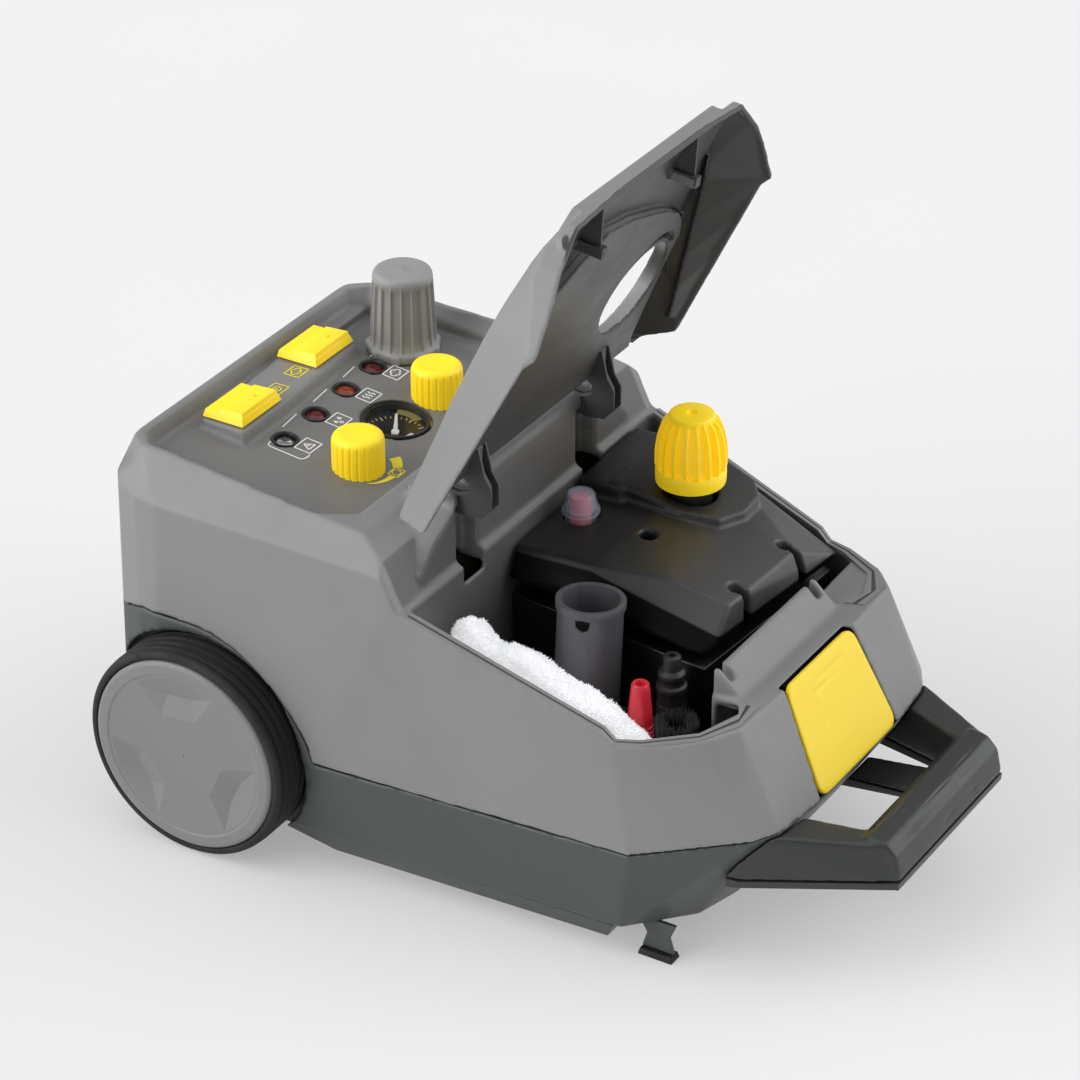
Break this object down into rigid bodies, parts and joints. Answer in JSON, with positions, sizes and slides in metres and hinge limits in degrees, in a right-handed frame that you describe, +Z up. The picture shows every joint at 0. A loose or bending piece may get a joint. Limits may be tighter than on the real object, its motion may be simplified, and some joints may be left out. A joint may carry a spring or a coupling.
{
  "type": "steam cleaner",
  "caption": "Compact wheeled steam cleaner with tilted console, open storage lid, black water tank, stowed nozzles, front carrying handle and big rear wheels.",
  "frame": {"origin": "centre of the bounding box on the floor, under the middle of the machine", "axes": "+Z up, +Y towards the rear wheels and console, +X across the machine; the front handle points to -Y"},
  "size_m": [0.32, 0.4788, 0.4295],
  "materials": {
    "base_grey": "dark grey plastic",
    "casing_grey": "fine spark-eroded grey plastic",
    "black": "satin black plastic",
    "yellow": "satin yellow plastic",
    "steel": "plain steel",
    "gloss_black": "glossy black plastic",
    "clear": "clear plastic",
    "red": "red plastic",
    "bristle": "black bristles",
    "terry": "white terry",
    "red_lens": "red lens",
    "amber_lens": "amber lens",
    "white_plastic": "natural white plastic",
    "light_grey": "light grey plastic",
    "boiler_aluminium": "cast aluminium",
    "brass": "turned brass",
    "board": "green circuit board",
    "tyre": "ribbed black tread",
    "rubber": "black rubber"
  },
  "bodies": {
    "chassis": {"lower_base": "base_grey", "bottom_pan": "base_grey", "upper_casing": "casing_grey", "front_handle": "black", "handle_under_strip": "black", "axle": "steel", "water_tank": "gloss_black", "tank_cover": "gloss_black", "filler_neck": "black", "reset_dome": "clear", "storage_tray": "base_grey", "terry_cloth": "terry", "lamp_1": "clear", "lamp_2": "red_lens", "lamp_3": "amber_lens", "lamp_4": "red_lens", "gauge_body": "gloss_black", "gauge_lens": "clear", "rear_neck": "black", "fresh_water_tank": "white_plastic", "boiler": "boiler_aluminium", "heating_element": "brass", "thermostat": "black", "pressure_switch": "brass", "pump": "black", "solenoid_valve": "brass", "control_board": "board", "cable_gland": "black", "steam_socket": "black", "hinge_pin_left": "steel", "axle_clip_left": "steel", "foot_bracket_left": "base_grey", "foot_pad_left": "rubber", "hinge_pin_right": "steel", "axle_clip_right": "steel", "foot_bracket_right": "base_grey", "foot_pad_right": "rubber"},
    "lid": {"lid": "casing_grey"},
    "wheel_left": {"wheel_hub_left": "black", "tyre_left": "tyre", "hub_cap_left": "light_grey"},
    "wheel_right": {"wheel_hub_right": "black", "tyre_right": "tyre", "hub_cap_right": "light_grey"},
    "latch": {"latch_pad": "yellow"},
    "safety_cap": {"safety_cap": "yellow"},
    "rear_cap": {"rear_cap": "light_grey"},
    "reset_button": {"reset_button": "red"},
    "power_rocker": {"power_rocker": "yellow"},
    "vapour_rocker": {"vapour_rocker": "yellow"},
    "steam_knob": {"steam_knob": "yellow"},
    "suction_knob": {"suction_knob": "yellow"},
    "gauge_needle": {"gauge_needle": "white_plastic"},
    "extension_tube": {"extension_tube": "base_grey"},
    "red_nozzle": {"red_nozzle": "red"},
    "steam_nozzle": {"steam_nozzle": "black"},
    "round_brush": {"round_brush": "bristle"}
  },
  "joints": [
    {"name": "lid_hinge", "type": "hinge", "parent": "chassis", "child": "lid", "pos_m": [0, 0.05415, 0.227], "axis": [-1, 0, 0], "range_deg": [-81.5, 0]},
    {"name": "wheel_left_spin", "type": "hinge", "parent": "chassis", "child": "wheel_left", "pos_m": [-0.143, 0.16615, 0.066], "axis": [1, 0, 0], "continuous": true},
    {"name": "wheel_right_spin", "type": "hinge", "parent": "chassis", "child": "wheel_right", "pos_m": [0.143, 0.16615, 0.066], "axis": [1, 0, 0], "continuous": true},
    {"name": "steam_knob_turn", "type": "hinge", "parent": "chassis", "child": "steam_knob", "pos_m": [-0.044, 0.11915, 0.21181], "axis": [0, 0, 1], "range_deg": [-135, 135]},
    {"name": "suction_knob_turn", "type": "hinge", "parent": "chassis", "child": "suction_knob", "pos_m": [0.048, 0.12515, 0.21244], "axis": [0, 0, 1], "range_deg": [-135, 135]},
    {"name": "power_rocker_tilt", "type": "hinge", "parent": "chassis", "child": "power_rocker", "pos_m": [-0.045, 0.19765, 0.226], "axis": [1, 0, 0], "range_deg": [-3, 3]},
    {"name": "vapour_rocker_tilt", "type": "hinge", "parent": "chassis", "child": "vapour_rocker", "pos_m": [0.036, 0.20215, 0.226], "axis": [1, 0, 0], "range_deg": [-3, 3]},
    {"name": "safety_cap_turn", "type": "hinge", "parent": "chassis", "child": "safety_cap", "pos_m": [0.07, -0.03185, 0.1927], "axis": [0, 0, 1], "range_deg": [0, 360]},
    {"name": "rear_cap_turn", "type": "hinge", "parent": "chassis", "child": "rear_cap", "pos_m": [0.082, 0.17015, 0.216], "axis": [0, 0, 1], "range_deg": [0, 360]},
    {"name": "gauge_needle_turn", "type": "hinge", "parent": "chassis", "child": "gauge_needle", "pos_m": [0.0037, 0.12515, 0.21244], "axis": [0, -0.1054, 0.9944], "range_deg": [-55, 55]},
    {"name": "latch_pad_press", "type": "slide", "parent": "chassis", "child": "latch", "axis": [0, 0.8974, -0.4412], "range_m": [0, 0.0018], "stiffness_N_per_m": 600},
    {"name": "reset_button_press", "type": "slide", "parent": "chassis", "child": "reset_button", "axis": [0, 0, -1], "range_m": [0, 0.002], "stiffness_N_per_m": 400},
    {"name": "extension_tube_lift", "type": "slide", "parent": "chassis", "child": "extension_tube", "axis": [0.0698, 0, 0.9976], "range_m": [0, 0.13]},
    {"name": "red_nozzle_lift", "type": "slide", "parent": "chassis", "child": "red_nozzle", "axis": [0, 0, 1], "range_m": [0, 0.1]},
    {"name": "steam_nozzle_lift", "type": "slide", "parent": "chassis", "child": "steam_nozzle", "axis": [0, 0, 1], "range_m": [0, 0.1]},
    {"name": "round_brush_lift", "type": "slide", "parent": "chassis", "child": "round_brush", "axis": [0, 0, 1], "range_m": [0, 0.1]}
  ]
}
